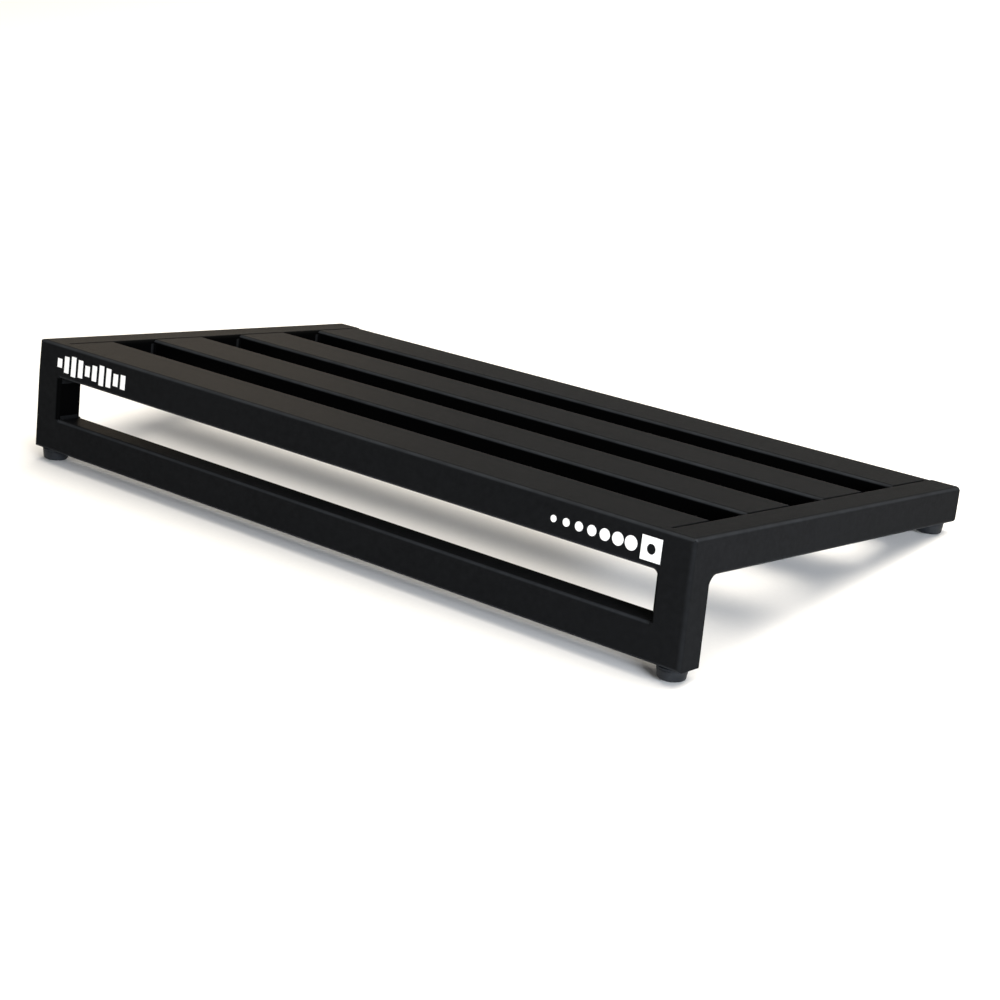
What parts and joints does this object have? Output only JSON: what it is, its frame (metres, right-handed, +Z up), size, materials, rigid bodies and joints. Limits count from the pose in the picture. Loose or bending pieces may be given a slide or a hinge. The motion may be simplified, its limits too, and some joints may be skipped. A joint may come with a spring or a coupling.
{
  "type": "pedalboard",
  "caption": "Sloping open pedalboard: a welded, black-coated frame of rectangular tube with spaced cross rails, a raised rear frame with a cable window, and rubber feet.",
  "frame": {"origin": "on the floor, under the middle of the footprint", "axes": "+X along the board's length, +Y from the tall edge towards the low edge, +Z up"},
  "size_m": [0.6096, 0.3252, 0.0918],
  "materials": {
    "frame_coat": "satin black powder coat on aluminium tube",
    "foot_rubber": "moulded black rubber, slightly chalky",
    "zinc_steel": "zinc-plated steel",
    "white_film": "matt white self-adhesive film"
  },
  "bodies": {
    "root": {"rear_top_rail": "frame_coat", "second_cross_rail": "frame_coat", "third_cross_rail": "frame_coat", "front_rail": "frame_coat", "left_side_rail": "frame_coat", "right_side_rail": "frame_coat", "left_leg": "frame_coat", "right_leg": "frame_coat", "rear_lower_rail": "frame_coat", "left_rear_end_plate": "frame_coat", "right_rear_end_plate": "frame_coat", "left_front_end_plate": "frame_coat", "right_front_end_plate": "frame_coat", "left_lower_end_plate": "frame_coat", "right_lower_end_plate": "frame_coat", "gap_welds": "frame_coat", "ground_seam_welds": "frame_coat", "window_welds": "frame_coat", "leg_welds": "frame_coat", "foot_rear_left": "foot_rubber", "foot_rear_right": "foot_rubber", "foot_front_left": "foot_rubber", "foot_front_right": "foot_rubber", "foot_washers": "zinc_steel", "foot_screws": "zinc_steel", "left_badge": "white_film", "right_badge": "white_film"}
  },
  "joints": []
}
